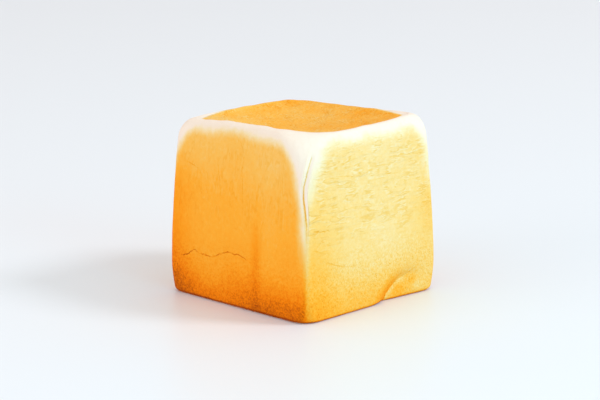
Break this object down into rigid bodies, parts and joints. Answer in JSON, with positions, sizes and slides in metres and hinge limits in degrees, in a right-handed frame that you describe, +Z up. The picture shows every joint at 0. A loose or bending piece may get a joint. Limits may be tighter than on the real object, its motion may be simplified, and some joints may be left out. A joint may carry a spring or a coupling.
{
  "type": "tin loaf",
  "caption": "Whole loaf of white bread baked in a lidded square tin: a soft cube with a sunken top crust, round upper edges and a dent at the foot of one wall.",
  "frame": {"origin": "on the floor, under the middle of the tin's square", "axes": "+Z up; +X towards the wall with the dent at its foot, -Y towards the wall to its left; the fold is on the upright edge between the two"},
  "size_m": [0.118, 0.118, 0.1116],
  "materials": {
    "crust": "matte golden bread crust, paler where the dough did not touch the tin"
  },
  "bodies": {
    "root": {"loaf": "crust"}
  },
  "joints": []
}
